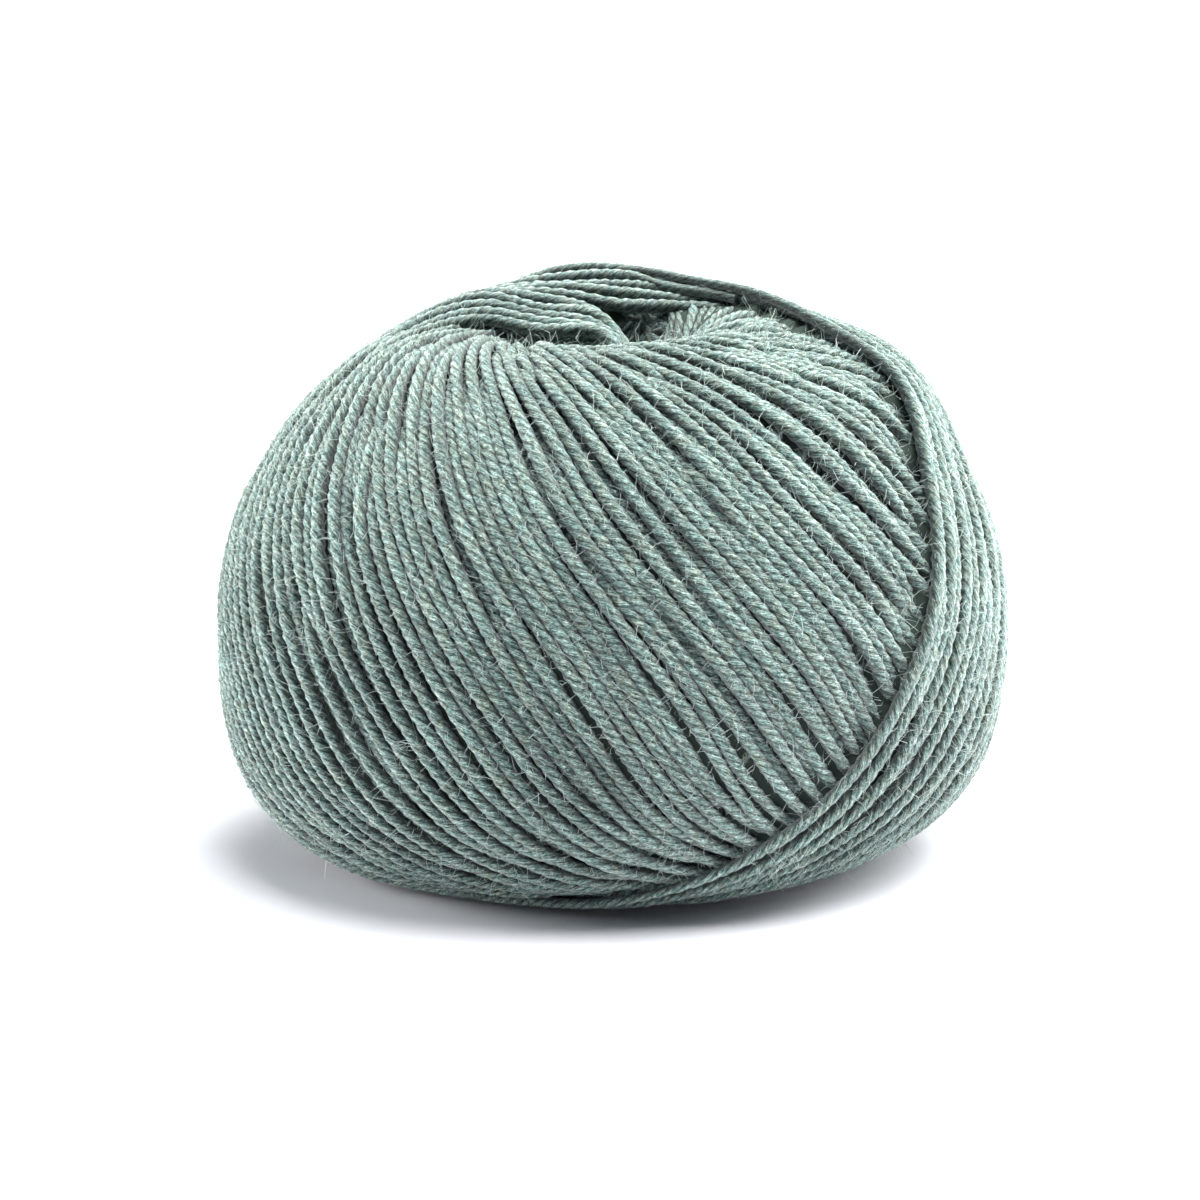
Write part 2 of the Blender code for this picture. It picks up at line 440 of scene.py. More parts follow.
HOLE_TURNS = 9
HOLE_RADIUS = 0.0088
HOLE_FLOOR_RADIUS = 0.0008
HOLE_TOP = 0.0240
HOLE_PITCH = 0.0005
HOLE_STRAY = 0.0002
HOLE_OFF_CENTRE = 0.001
HOLE_LEAN = 0.0026  # by which the uppermost turns lie higher at the back, and lower in front
HOLE_ENTRY = 0.0025  # by which the first turn begins further out, behind the wall
HOLE_NUMBER = 40  # past those of the loose turns


def turns_in_hole():
    """One run of turns that pass nearly level round the spindle's place, and close the hole's floor."""
    lon = np.arange(0.0, 2.0 * math.pi * HOLE_TURNS, 0.1)
    share = lon / lon[-1]
    radius = HOLE_RADIUS + (HOLE_FLOOR_RADIUS - HOLE_RADIUS) * share + HOLE_STRAY * np.sin(4.3 * lon)
    off_centre = (1.0 - share) * HOLE_OFF_CENTRE * np.sin(lon)
    radius = radius + off_centre + HOLE_ENTRY * smooth_step(1.0 - lon / 0.8)
    height = HOLE_TOP + HOLE_LEAN * (1.0 - share) * np.sin(lon) - HOLE_PITCH * HOLE_TURNS * share
    height = height + HOLE_STRAY * np.sin(3.7 * lon)
    path = np.column_stack([radius * np.cos(lon), radius * np.sin(lon), height])
    return [loose_stretch(HOLE_NUMBER, path)]


shown_stretches += turns_side_by_side(SLIPPED_FIRST, SLIPPED_LAST, SLIPPED_TURNS)
shown_stretches += turns_side_by_side(BACK_LOWEST, BACK_HIGHEST, BACK_TURNS)
shown_stretches += turns_in_hole()


# ---------------------------------------------------------------------------
# The turns in sight: wool yarn of four plies, twisted together to the left, about 1.5 mm thick. Curve to Mesh
# draws it along each turn, with two points to a ply, so that the plies stand out as ridges round the yarn.
# Only friction and the turns laid over it hold it.

PLIES = 4
PLY_LEAD = 0.0053  # length in which a ply goes once round the yarn
PLY_RELIEF = 0.19  # share of the yarn's radius by which the grooves between plies are sunk
RING_STEP = 0.00053
TURN_LENGTH = 0.226
PIECE_TRIANGLES = 190000
BALL_MIDDLE = (0.0, 0.0, 0.024)
# Tufts that the surface of the yarn rises and falls by, about 0.5 mm across
TUFT_RELIEF = 0.00022
TUFTS_TO_METRE = 1900.0
# The UV map's strips: the longest row of yarn in one, and what is left free after each stretch
STRIP_LENGTH = 0.245
STRIP_MARGIN = 0.0008


def add_node(tree, kind, inputs=None, **settings):
    node = tree.nodes.new(kind)
    for name, value in settings.items():
        setattr(node, name, value)
    for name, value in (inputs or {}).items():
        if isinstance(value, bpy.types.NodeSocket):
            tree.links.new(value, node.inputs[name])
        else:
            node.inputs[name].default_value = value
    return node


def lay_in_strips(stretches):
    """Gives each stretch its place in a row of the UV map, longest first, and returns how many rows."""
    rows = []
    for stretch in sorted(stretches, key=lambda stretch: -len(stretch["points"])):
        length = np.linalg.norm(np.diff(stretch["points"], axis=0), axis=1).sum() + STRIP_MARGIN
        for number, used in enumerate(rows):
            if used + length <= STRIP_LENGTH:
                break
        else:
            number = len(rows)
            rows.append(0.0)
        stretch["strip"] = (number, rows[number])
        rows[number] += length
    return len(rows)


def yarn_chain(name, stretches):
    """Edges through the stretches' points, with the yarn's twist, place and thickness at each point."""
    points = np.vstack([stretch["points"] for stretch in stretches])
    edges, along, twist, thickness, strip, strip_place = [], [], [], [], [], []
    first = 0
    for stretch in stretches:
        count = len(stretch["points"])
        steps = np.linalg.norm(np.diff(stretch["points"], axis=0), axis=1)
        begin = TURN_LENGTH * stretch["turn"] + TURN_LENGTH * stretch["start"] / STEPS_IN_TURN
        place = begin + np.concatenate([[0.0], np.cumsum(steps)])
        along.append(place)
        # The twist is tighter and slacker along the yarn, in waves of 20 and 36 mm, and the yarn a little
        # thicker and thinner, in waves of 24 and 10 mm
        slack = 0.8 * np.sin(place * 310.0) + 0.5 * np.sin(place * 173.0 + 2.0)
        twist.append(place * -2.0 * math.pi / PLY_LEAD + slack)
        uneven = 1.0 + 0.045 * np.sin(place * 260.0) + 0.035 * np.sin(place * 611.0 + stretch["turn"])
        thickness.append(stretch["girths"] * uneven)
        strip.append(np.full(count, float(stretch["strip"][0])))
        strip_place.append(stretch["strip"][1] + place - place[0])
        numbers = np.arange(first, first + count)
        edges.append(np.column_stack([numbers[:-1], numbers[1:]]))
        first += count
    mesh = bpy.data.meshes.new(name)
    edges = np.vstack(edges)
    mesh.vertices.add(len(points))
    mesh.vertices.foreach_set("co", points.astype(np.float32).ravel())
    mesh.edges.add(len(edges))
    mesh.edges.foreach_set("vertices", edges.astype(np.int32).ravel())
    kept = {
        "along": along,
        "twist": twist,
        "thickness": thickness,
        "strip": strip,
        "strip_place": strip_place,
    }
    for label, values in kept.items():
        layer = mesh.attributes.new(label, "FLOAT", "POINT")
        layer.data.foreach_set("value", np.concatenate(values).astype(np.float32))
    mesh.update()
    return mesh


def new_tree(name, sockets):
    """An empty Geometry Nodes tree with named inputs, and its input node's sockets."""
    tree = bpy.data.node_groups.new(name, "GeometryNodeTree")
    tree.interface.new_socket("Geometry", in_out="INPUT", socket_type="NodeSocketGeometry")
    for label, kind in sockets.items():
        tree.interface.new_socket(label, in_out="INPUT", socket_type=f"NodeSocket{kind}")
    tree.interface.new_socket("Geometry", in_out="OUTPUT", socket_type="NodeSocketGeometry")
    return tree, add_node(tree, "NodeGroupInput").outputs


def finish_tree(tree, geometry, wool):
    real = add_node(tree, "GeometryNodeRealizeInstances", {"Geometry": geometry})
    dressed = add_node(
        tree, "GeometryNodeSetMaterial", {"Geometry": real.outputs["Geometry"], "Material": wool}
    )
    add_node(tree, "NodeGroupOutput", {"Geometry": dressed.outputs["Geometry"]})


def yarn_tree(name):
    """Edges to yarn: resampled, twisted and drawn out as a ring of plies."""
    sizes = {"Ring Step": "Float", "Plies": "Int", "Ply Relief": "Float", "Tuft Relief": "Float"}
    tree, given = new_tree(name, {**sizes, "Wool": "Material"})
    curve = add_node(tree, "GeometryNodeMeshToCurve", {"Mesh": given["Geometry"]})
    even = add_node(
        tree,
        "GeometryNodeResampleCurve",
        {"Curve": curve.outputs["Curve"], "Length": given["Ring Step"]},
        mode="LENGTH",
    )
    twist = add_node(tree, "GeometryNodeInputNamedAttribute", {"Name": "twist"}, data_type="FLOAT")
    thickness = add_node(tree, "GeometryNodeInputNamedAttribute", {"Name": "thickness"}, data_type="FLOAT")
    twisted = add_node(
        tree, "GeometryNodeSetCurveTilt", {"Curve": even.outputs["Curve"], "Tilt": twist.outputs["Attribute"]}
    )
    corners = add_node(tree, "ShaderNodeMath", {0: given["Plies"], 1: 2.0}, operation="MULTIPLY")
    ring = add_node(
        tree, "GeometryNodeCurvePrimitiveCircle", {"Resolution": corners.outputs[0], "Radius": 1.0}
    )
    number = add_node(tree, "GeometryNodeInputIndex")
    groove = add_node(tree, "ShaderNodeMath", {0: number.outputs[0], 1: 2.0}, operation="MODULO")
    place = add_node(tree, "GeometryNodeInputPosition")
    sunk = add_node(
        tree, "ShaderNodeMath", {0: given["Ply Relief"], 1: groove.outputs[0]}, operation="MULTIPLY"
    )
    size = add_node(tree, "ShaderNodeMath", {0: 1.0, 1: sunk.outputs[0]}, operation="SUBTRACT")
    drawn = add_node(
        tree, "ShaderNodeVectorMath", {0: place.outputs[0], "Scale": size.outputs[0]}, operation="SCALE"
    )
    plied = add_node(
        tree, "GeometryNodeSetPosition", {"Geometry": ring.outputs["Curve"], "Position": drawn.outputs[0]}
    )
    keep_groove = add_node(
        tree,
        "GeometryNodeStoreNamedAttribute",
        {"Geometry": plied.outputs["Geometry"], "Name": "groove", "Value": groove.outputs[0]},
        data_type="FLOAT",
        domain="POINT",
    )
    keep_section = add_node(
        tree,
        "GeometryNodeStoreNamedAttribute",
        {"Geometry": keep_groove.outputs["Geometry"], "Name": "section", "Value": place.outputs[0]},
        data_type="FLOAT_VECTOR",
        domain="POINT",
    )
    yarn = add_node(
        tree,
        "GeometryNodeCurveToMesh",
        {
            "Curve": twisted.outputs["Curve"],
            "Profile Curve": keep_section.outputs["Geometry"],
            "Scale": thickness.outputs["Attribute"],
            "Fill Caps": True,
        },
    )
    tufts = add_node(
        tree, "ShaderNodeTexNoise", {"Vector": place.outputs[0], "Scale": TUFTS_TO_METRE, "Detail": 1.0}
    )
    centred = add_node(
        tree, "ShaderNodeVectorMath", {0: tufts.outputs["Color"], 1: (0.5, 0.5, 0.5)}, operation="SUBTRACT"
    )
    stray = add_node(
        tree,
        "ShaderNodeVectorMath",
        {0: centred.outputs[0], "Scale": given["Tuft Relief"]},
        operation="SCALE",
    )
    tufted = add_node(
        tree, "GeometryNodeSetPosition", {"Geometry": yarn.outputs["Mesh"], "Offset": stray.outputs[0]}
    )
    finish_tree(tree, tufted.outputs["Geometry"], given["Wool"])
    return tree


def grown(base, tree, values):
    """The plain mesh that a tree makes of another one, with the tree's inputs set to these values."""
    maker = bpy.data.objects.new("maker", base)
    bpy.context.scene.collection.objects.link(maker)
    nodes = maker.modifiers.new("nodes", "NODES")
    nodes.node_group = tree
    sockets = {item.name: item.identifier for item in tree.interface.items_tree if item.in_out == "INPUT"}
    for name, value in values.items():
        nodes[sockets[name]] = value
    graph = bpy.context.evaluated_depsgraph_get()
    mesh = bpy.data.meshes.new_from_object(maker.evaluated_get(graph))
    bpy.data.objects.remove(maker, do_unlink=True)
    return mesh


def shown_piece(name, mesh):
    mesh.name = name
    piece = bpy.data.objects.new(name, mesh)
    bpy.context.scene.collection.objects.link(piece)
    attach(piece, "root")
    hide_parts("wound_ball")
    return piece


def linear(code):
    """An sRGB hex colour as the linear values that shaders take."""
    parts = [int(code[place : place + 2], 16) / 255.0 for place in (1, 3, 5)]
    return [part / 12.92 if part <= 0.04045 else ((part + 0.055) / 1.055) ** 2.4 for part in parts] + [1.0]


# Each dye from its darkest tone, painted shade in the gaps between fibres, to the palest fibres, and where
# those tones lie in the streaks
TONE_PLACES = (0.32, 0.42, 0.51, 0.60, 0.70)
TEAL = ("#172B29", "#4C706B", "#82A29A", "#B0C8BF", "#E6F0EA")
SAGE = ("#212A23", "#5A6E62", "#8B9F92", "#B7C9BC", "#E9EFE3")
BROWN_FLECK = "#7C6A58"
# The wool's patterns, as repeats to the metre
STREAKS = 8600.0  # 0.12 mm wide: a few fibres side by side, since a single one is too fine to show
STREAK_SHORTENING = 0.24  # so a streak is about four times as long as it is wide
DYE_PATCHES = 800.0  # 1.3 mm
FLECKS = 3300.0  # 0.3 mm
HAZE = 3600.0  # 0.3 mm, where fibres cross the plies
TONE_DRIFT = 60.0  # 17 mm, along the yarn
FIBRE_RELIEF = 0.00016


def dyed_tones(tree, streaks, dye):
    """The tones of wool of one dye, over its streaks."""
    ramp = add_node(tree, "ShaderNodeValToRGB", {"Fac": streaks})
    while len(ramp.color_ramp.elements) < len(dye):
        ramp.color_ramp.elements.new(0.5)
    for element, place, code in zip(ramp.color_ramp.elements, TONE_PLACES, dye):
        element.position = place
        element.color = linear(code)
    return ramp.outputs["Color"]


def plied_wool(name, painted_lightness):
    """Melange wool, carded from dyed and undyed fibres and spun: quite matt, with short streaks of teal and
    sage along the plies, brown flecks, painted shade in the grooves between the plies and low on the yarn's
    sides, and a faint bloom at the edges. Copies made with a value under 1 are painted darker all over, as
    shade."""
    wool = bpy.data.materials.new(name)
    wool.use_nodes = True
    tree = wool.node_tree
    shader = tree.nodes["Principled BSDF"]
    shader.inputs["Roughness"].default_value = 0.95
    shader.inputs["Specular IOR Level"].default_value = 0.15
    shader.inputs["Sheen Weight"].default_value = 0.35
    shader.inputs["Sheen Roughness"].default_value = 0.5

    # Streaks: noise in the yarn's own section, drawn out along it
    section = add_node(tree, "ShaderNodeAttribute", attribute_name="section")
    along = add_node(tree, "ShaderNodeAttribute", attribute_name="along")
    sides = add_node(tree, "ShaderNodeSeparateXYZ", {0: section.outputs["Vector"]})
    across_x = add_node(tree, "ShaderNodeMath", {0: sides.outputs[0], 1: YARN_RADIUS}, operation="MULTIPLY")
    across_y = add_node(tree, "ShaderNodeMath", {0: sides.outputs[1], 1: YARN_RADIUS}, operation="MULTIPLY")
    drawn = add_node(
        tree, "ShaderNodeMath", {0: along.outputs["Fac"], 1: STREAK_SHORTENING}, operation="MULTIPLY"
    )
    place = add_node(
        tree, "ShaderNodeCombineXYZ", {0: across_x.outputs[0], 1: across_y.outputs[0], 2: drawn.outputs[0]}
    )
    streaks = add_node(
        tree,
        "ShaderNodeTexNoise",
        {"Vector": place.outputs[0], "Scale": STREAKS, "Detail": 3.0, "Roughness": 0.7},
    ).outputs["Fac"]
    teal = dyed_tones(tree, streaks, TEAL)
    sage = dyed_tones(tree, streaks, SAGE)

    coordinates = add_node(tree, "ShaderNodeTexCoord")

    def tufts(scale, detail):
        """Noise that is even in all directions, as where fibres lie across the plies."""
        noise = add_node(
            tree,
            "ShaderNodeTexNoise",
            {"Vector": coordinates.outputs["Object"], "Scale": scale, "Detail": detail, "Roughness": 0.65},
        )
        return noise.outputs["Fac"]

    which = add_node(
        tree, "ShaderNodeMapRange", {"Value": tufts(DYE_PATCHES, 3.0), "From Min": 0.42, "From Max": 0.62}
    )
    dyed = add_node(tree, "ShaderNodeMix", {"Factor": which.outputs["Result"]}, data_type="RGBA")
    tree.links.new(teal, dyed.inputs["A"])
    tree.links.new(sage, dyed.inputs["B"])
    fleck = add_node(
        tree,
        "ShaderNodeMapRange",
        {"Value": tufts(FLECKS, 2.0), "From Min": 0.62, "From Max": 0.72, "To Min": 0.0, "To Max": 0.5},
    )
    wools = add_node(tree, "ShaderNodeMix", {"Factor": fleck.outputs["Result"]}, data_type="RGBA")
    tree.links.new(dyed.outputs["Result"], wools.inputs["A"])
    wools.inputs["B"].default_value = linear(BROWN_FLECK)

    # Painted shade, darker in the grooves between plies and low on the yarn's flanks, and tone uneven where
    # fibres cross
    groove = add_node(tree, "ShaderNodeAttribute", attribute_name="groove")
    # Painted shade: the grooves between the plies are coloured darker
    painted_groove_shade = add_node(
        tree,
        "ShaderNodeMapRange",
        {
            "Value": groove.outputs["Fac"],
            "From Min": 0.45,
            "From Max": 1.0,
            "To Min": painted_lightness,
            "To Max": 0.28 * painted_lightness,
        },
    )
    outward = add_node(tree, "ShaderNodeAttribute", attribute_name="outward")
    # Painted shade: the yarn's sides, where they face less out of the ball, are coloured darker
    painted_flank_shade = add_node(
        tree,
        "ShaderNodeMapRange",
        {"Value": outward.outputs["Fac"], "From Min": 0.0, "From Max": 0.93, "To Min": 0.25, "To Max": 1.0},
    )
    hazy = add_node(
        tree,
        "ShaderNodeMapRange",
        {"Value": tufts(HAZE, 3.0), "From Min": 0.34, "From Max": 0.66, "To Min": 0.54, "To Max": 1.42},
    )
    slow = add_node(
        tree,
        "ShaderNodeTexNoise",
        {"W": along.outputs["Fac"], "Scale": TONE_DRIFT, "Detail": 1.0},
        noise_dimensions="1D",
    )
    tone = add_node(
        tree,
        "ShaderNodeMapRange",
        {"Value": slow.outputs["Fac"], "From Min": 0.3, "From Max": 0.7, "To Min": 0.82, "To Max": 1.19},
    )
    # Both painted shades together
    painted_shade = add_node(
        tree, "ShaderNodeMath", {0: painted_groove_shade.outputs[0], 1: painted_flank_shade.outputs[0]}, operation="MULTIPLY"
    )
    uneven = add_node(tree, "ShaderNodeMath", {0: tone.outputs[0], 1: hazy.outputs[0]}, operation="MULTIPLY")
    shade = add_node(
        tree, "ShaderNodeMath", {0: painted_shade.outputs[0], 1: uneven.outputs[0]}, operation="MULTIPLY"
    )
    colour = add_node(tree, "ShaderNodeMix", {"Factor": 1.0}, data_type="RGBA", blend_type="MULTIPLY")
    tree.links.new(wools.outputs["Result"], colour.inputs["A"])
    tree.links.new(shade.outputs[0], colour.inputs["B"])
    tree.links.new(colour.outputs["Result"], shader.inputs["Base Color"])
    hairs = add_node(tree, "ShaderNodeBump", {"Height": streaks, "Distance": FIBRE_RELIEF, "Strength": 0.9})
    tree.links.new(hairs.outputs["Normal"], shader.inputs["Normal"])
    return wool


def keep_outward(mesh, ring):
    """Keeps how far each point of the yarn faces out of the ball, from -1 to 1, as the mask of painted shade
    on its sides.
    """
    points = np.empty(len(mesh.vertices) * 3)
    mesh.vertices.foreach_get("co", points)
    points = points.reshape(-1, ring, 3)
    middles = points.mean(axis=1, keepdims=True)
    rays = points - middles
    out = middles - np.array(BALL_MIDDLE)
    facing = np.sum(rays * out, axis=2) / np.linalg.norm(rays, axis=2) / np.linalg.norm(out, axis=2)
    layer = mesh.attributes.new("outward", "FLOAT", "POINT")
    layer.data.foreach_set("value", facing.astype(np.float32).ravel())


def map_strips(mesh, ring, rows):
    """A UV map in which each stretch is a strip: its length goes across, and once round the yarn upwards."""
    corners = np.empty(len(mesh.loops), dtype=np.int32)
    mesh.loops.foreach_get("vertex_index", corners)
    starts = np.empty(len(mesh.polygons), dtype=np.int32)
    counts = np.empty(len(mesh.polygons), dtype=np.int32)
    mesh.polygons.foreach_get("loop_start", starts)
    mesh.polygons.foreach_get("loop_total", counts)
    turn = corners % ring
    wraps = (np.maximum.reduceat(turn, starts) - np.minimum.reduceat(turn, starts) > 1) & (counts == 4)
    turn = np.where(np.repeat(wraps, counts) & (turn == 0), ring, turn)
    strip = np.empty(len(mesh.vertices), dtype=np.float32)
    place = np.empty(len(mesh.vertices), dtype=np.float32)
    mesh.attributes["strip"].data.foreach_get("value", strip)
    mesh.attributes["strip_place"].data.foreach_get("value", place)
    across = place[corners] / STRIP_LENGTH
    upwards = (np.round(strip[corners]) + 0.05 + 0.90 * turn / ring) / rows
    layer = mesh.uv_layers.new(name="OFBake")
    layer.data.foreach_set("uv", np.column_stack([across, upwards]).astype(np.float32).ravel())


drawing_tree = yarn_tree("draw_plied_yarn")


def yarn_pieces(name, stretches, ring_step, plies, relief, wool):
    """Yarn along all the stretches, in pieces that are small enough to keep."""
    ring = 2 * plies
    groups, triangles = [[]], 0
    for stretch in stretches:
        length = np.linalg.norm(np.diff(stretch["points"], axis=0), axis=1).sum()
        need = 2 * ring * (length / ring_step + 1.0)
        if triangles + need > PIECE_TRIANGLES:
            groups.append([])
            triangles = 0
        groups[-1].append(stretch)
        triangles += need
    sizes = {"Ring Step": ring_step, "Plies": plies, "Ply Relief": relief, "Tuft Relief": TUFT_RELIEF}
    pieces = []
    for number, group in enumerate(groups, start=1):
        rows = lay_in_strips(group)
        mesh = grown(yarn_chain(name, group), drawing_tree, {**sizes, "Wool": wool})
        keep_outward(mesh, ring)
        map_strips(mesh, ring, rows)
        mesh.shade_smooth()
        pieces.append(shown_piece(f"{name}_{number}", mesh))
    return pieces


wool_in_sight = plied_wool("plied_melange_wool", 1.0)
turn_pieces = yarn_pieces("turns_in_sight", shown_stretches, RING_STEP, PLIES, PLY_RELIEF, wool_in_sight)


# ---------------------------------------------------------------------------
# The turns beneath: the same yarn where it only shows between those in sight, which press it down and keep
# it in shade. Its wool is a copy painted a fifth darker, as that shade. It is drawn more plainly, as three
# shallow plies in longer steps.

PLIES_BELOW = 3
PLY_RELIEF_BELOW = 0.05
RING_STEP_BELOW = 0.0014

# A copy of the wool painted a fifth darker all over, as the shade beneath the turns in sight
wool_below = plied_wool("plied_melange_wool_below_painted_darker", 0.8)
yarn_pieces("turns_below", lower_stretches, RING_STEP_BELOW, PLIES_BELOW, PLY_RELIEF_BELOW, wool_below)


# ---------------------------------------------------------------------------
# The loose fibres: short ends of wool that the twist doesn't hold, so they stand off the yarn all over and
# give the ball its soft, hazy edge. They are thin ribbons, bent at random and rooted on the turns in sight.

FIBRES_PER_MM2 = 1.55
FIBRE_LENGTH = 0.0030
FIBRE_WIDTH = 0.00005  # about two real fibres, as thin as shows
FIBRE_BEND = 0.0042
FIBRES_OVER = 0.004  # the floor, and no roots lie lower
FIBRES_OFF_MOUTH = 0.0135  # from the ball's middle line, and no roots lie closer
# Partly painted light: paler than the yarn, as the fibres look against the light
FIBRE_COLOUR = "#BFCEC6"
ROOTS_OUTWARD = 0.45  # how squarely a face with roots looks out of the ball, where 1 is straight out
LEAN_MOST = 2.2  # of a fibre to any side, for a length of 1 along its root's normal
TIP_TAPER = -0.7
LENGTH_LEAST = 0.25  # share of the full length
LENGTH_GAIN = 0.75
LENGTH_SKEW = 2.5  # higher makes long fibres rarer
BENDS_TO_METRE = 620.0  # one bend in 1.6 mm
BEND_TO_TIP = 1.6  # higher leaves the roots straighter


def fibre_tree(name):
    """A mesh to the loose fibres on its outer side."""
    sizes = ("Fibres", "Length", "Width", "Bend", "Over", "Mouth")
    sockets = {**dict.fromkeys(sizes, "Float"), "Seed": "Int", "Middle": "Vector", "Wool": "Material"}
    tree, given = new_tree(name, sockets)

    # Roots: on faces that look out of the ball, over the floor and away from the hole's mouth
    place = add_node(tree, "GeometryNodeInputPosition")
    normal = add_node(tree, "GeometryNodeInputNormal")
    out = add_node(
        tree, "ShaderNodeVectorMath", {0: place.outputs[0], 1: given["Middle"]}, operation="SUBTRACT"
    )
    way_out = add_node(tree, "ShaderNodeVectorMath", {0: out.outputs[0]}, operation="NORMALIZE")
    facing = add_node(
        tree, "ShaderNodeVectorMath", {0: way_out.outputs[0], 1: normal.outputs[0]}, operation="DOT_PRODUCT"
    )
    outside = add_node(
        tree, "ShaderNodeMath", {0: facing.outputs["Value"], 1: ROOTS_OUTWARD}, operation="GREATER_THAN"
    )
    sides = add_node(tree, "ShaderNodeSeparateXYZ", {0: place.outputs[0]})
    clear = add_node(
        tree, "ShaderNodeMath", {0: sides.outputs[2], 1: given["Over"]}, operation="GREATER_THAN"
    )
    level_place = add_node(
        tree, "ShaderNodeVectorMath", {0: place.outputs[0], 1: (1.0, 1.0, 0.0)}, operation="MULTIPLY"
    )
    radius = add_node(tree, "ShaderNodeVectorMath", {0: level_place.outputs[0]}, operation="LENGTH")
    off_mouth = add_node(
        tree, "ShaderNodeMath", {0: radius.outputs["Value"], 1: given["Mouth"]}, operation="GREATER_THAN"
    )
    rooted = add_node(
        tree, "ShaderNodeMath", {0: clear.outputs[0], 1: off_mouth.outputs[0]}, operation="MULTIPLY"
    )
    outer = add_node(
        tree, "ShaderNodeMath", {0: outside.outputs[0], 1: rooted.outputs[0]}, operation="MULTIPLY"
    )
    roots = add_node(
        tree,
        "GeometryNodeDistributePointsOnFaces",
        {
            "Mesh": given["Geometry"],
            "Selection": outer.outputs[0],
            "Density": given["Fibres"],
            "Seed": given["Seed"],
        },
    )

    # One fibre: a ribbon that narrows to its tip and keeps how far along it each point is
    grid = add_node(
        tree, "GeometryNodeMeshGrid", {"Size X": 1.0, "Size Y": 1.0, "Vertices X": 2, "Vertices Y": 4}
    )
    share = add_node(tree, "ShaderNodeMath", {0: sides.outputs[1], 1: 0.5}, operation="ADD")
    taper = add_node(
        tree, "ShaderNodeMath", {0: share.outputs[0], 1: TIP_TAPER, 2: 1.0}, operation="MULTIPLY_ADD"
    )
    width = add_node(tree, "ShaderNodeMath", {0: taper.outputs[0], 1: given["Width"]}, operation="MULTIPLY")
    ribbon_x = add_node(
        tree, "ShaderNodeMath", {0: sides.outputs[0], 1: width.outputs[0]}, operation="MULTIPLY"
    )
    ribbon_z = add_node(
        tree, "ShaderNodeMath", {0: share.outputs[0], 1: given["Length"]}, operation="MULTIPLY"
    )
    ribbon_place = add_node(tree, "ShaderNodeCombineXYZ", {0: ribbon_x.outputs[0], 2: ribbon_z.outputs[0]})
    keep_share = add_node(
        tree,
        "GeometryNodeStoreNamedAttribute",
        {"Geometry": grid.outputs["Mesh"], "Name": "fibre_share", "Value": share.outputs[0]},
        data_type="FLOAT",
        domain="POINT",
    )
    ribbon = add_node(
        tree,
        "GeometryNodeSetPosition",
        {"Geometry": keep_share.outputs["Geometry"], "Position": ribbon_place.outputs[0]},
    )

    # A fibre on each root, leaned and of its own length
    lean = add_node(
        tree,
        "FunctionNodeRandomValue",
        {0: (-LEAN_MOST,) * 3, 1: (LEAN_MOST,) * 3, "Seed": given["Seed"]},
        data_type="FLOAT_VECTOR",
    )
    way = add_node(
        tree, "ShaderNodeVectorMath", {0: roots.outputs["Normal"], 1: lean.outputs[0]}, operation="ADD"
    )
    stand = add_node(tree, "FunctionNodeAlignRotationToVector", {"Vector": way.outputs[0]}, axis="Z")
    chance_size = add_node(tree, "FunctionNodeRandomValue", {2: 0.0, 3: 1.0}, data_type="FLOAT")
    skewed = add_node(
        tree, "ShaderNodeMath", {0: chance_size.outputs[1], 1: LENGTH_SKEW}, operation="POWER"
    )
    size = add_node(
        tree,
        "ShaderNodeMath",
        {0: skewed.outputs[0], 1: LENGTH_GAIN, 2: LENGTH_LEAST},
        operation="MULTIPLY_ADD",
    )
    stretch = add_node(tree, "ShaderNodeCombineXYZ", {0: 1.0, 1: 1.0, 2: size.outputs[0]})
    fibres = add_node(
        tree,
        "GeometryNodeInstanceOnPoints",
        {
            "Points": roots.outputs["Points"],
            "Instance": ribbon.outputs["Geometry"],
            "Rotation": stand.outputs["Rotation"],
            "Scale": stretch.outputs[0],
        },
    )

    # All bent by one noise, more towards their tips
    real = add_node(tree, "GeometryNodeRealizeInstances", {"Geometry": fibres.outputs["Instances"]})
    noise = add_node(
        tree, "ShaderNodeTexNoise", {"Vector": place.outputs[0], "Scale": BENDS_TO_METRE, "Detail": 1.0}
    )
    centred = add_node(
        tree, "ShaderNodeVectorMath", {0: noise.outputs["Color"], 1: (0.5, 0.5, 0.5)}, operation="SUBTRACT"
    )
    kept = add_node(tree, "GeometryNodeInputNamedAttribute", {"Name": "fibre_share"}, data_type="FLOAT")
    curl = add_node(
        tree, "ShaderNodeMath", {0: kept.outputs["Attribute"], 1: BEND_TO_TIP}, operation="POWER"
    )
    reach = add_node(tree, "ShaderNodeMath", {0: curl.outputs[0], 1: given["Bend"]}, operation="MULTIPLY")
    bend = add_node(
        tree, "ShaderNodeVectorMath", {0: centred.outputs[0], "Scale": reach.outputs[0]}, operation="SCALE"
    )
    bent = add_node(
        tree, "GeometryNodeSetPosition", {"Geometry": real.outputs["Geometry"], "Offset": bend.outputs[0]}
    )
    finish_tree(tree, bent.outputs["Geometry"], given["Wool"])
    return tree


def loose_wool(name):
    """Single undyed and dyed fibres: pale, partly as their wool is and partly painted lighter for how they
    glow against the light, and a little glossier than the yarn.
    """
    wool = bpy.data.materials.new(name)
    wool.use_nodes = True
    shader = wool.node_tree.nodes["Principled BSDF"]
    shader.inputs["Base Color"].default_value = linear(FIBRE_COLOUR)
    shader.inputs["Roughness"].default_value = 0.7
    shader.inputs["Specular IOR Level"].default_value = 0.4
    return wool


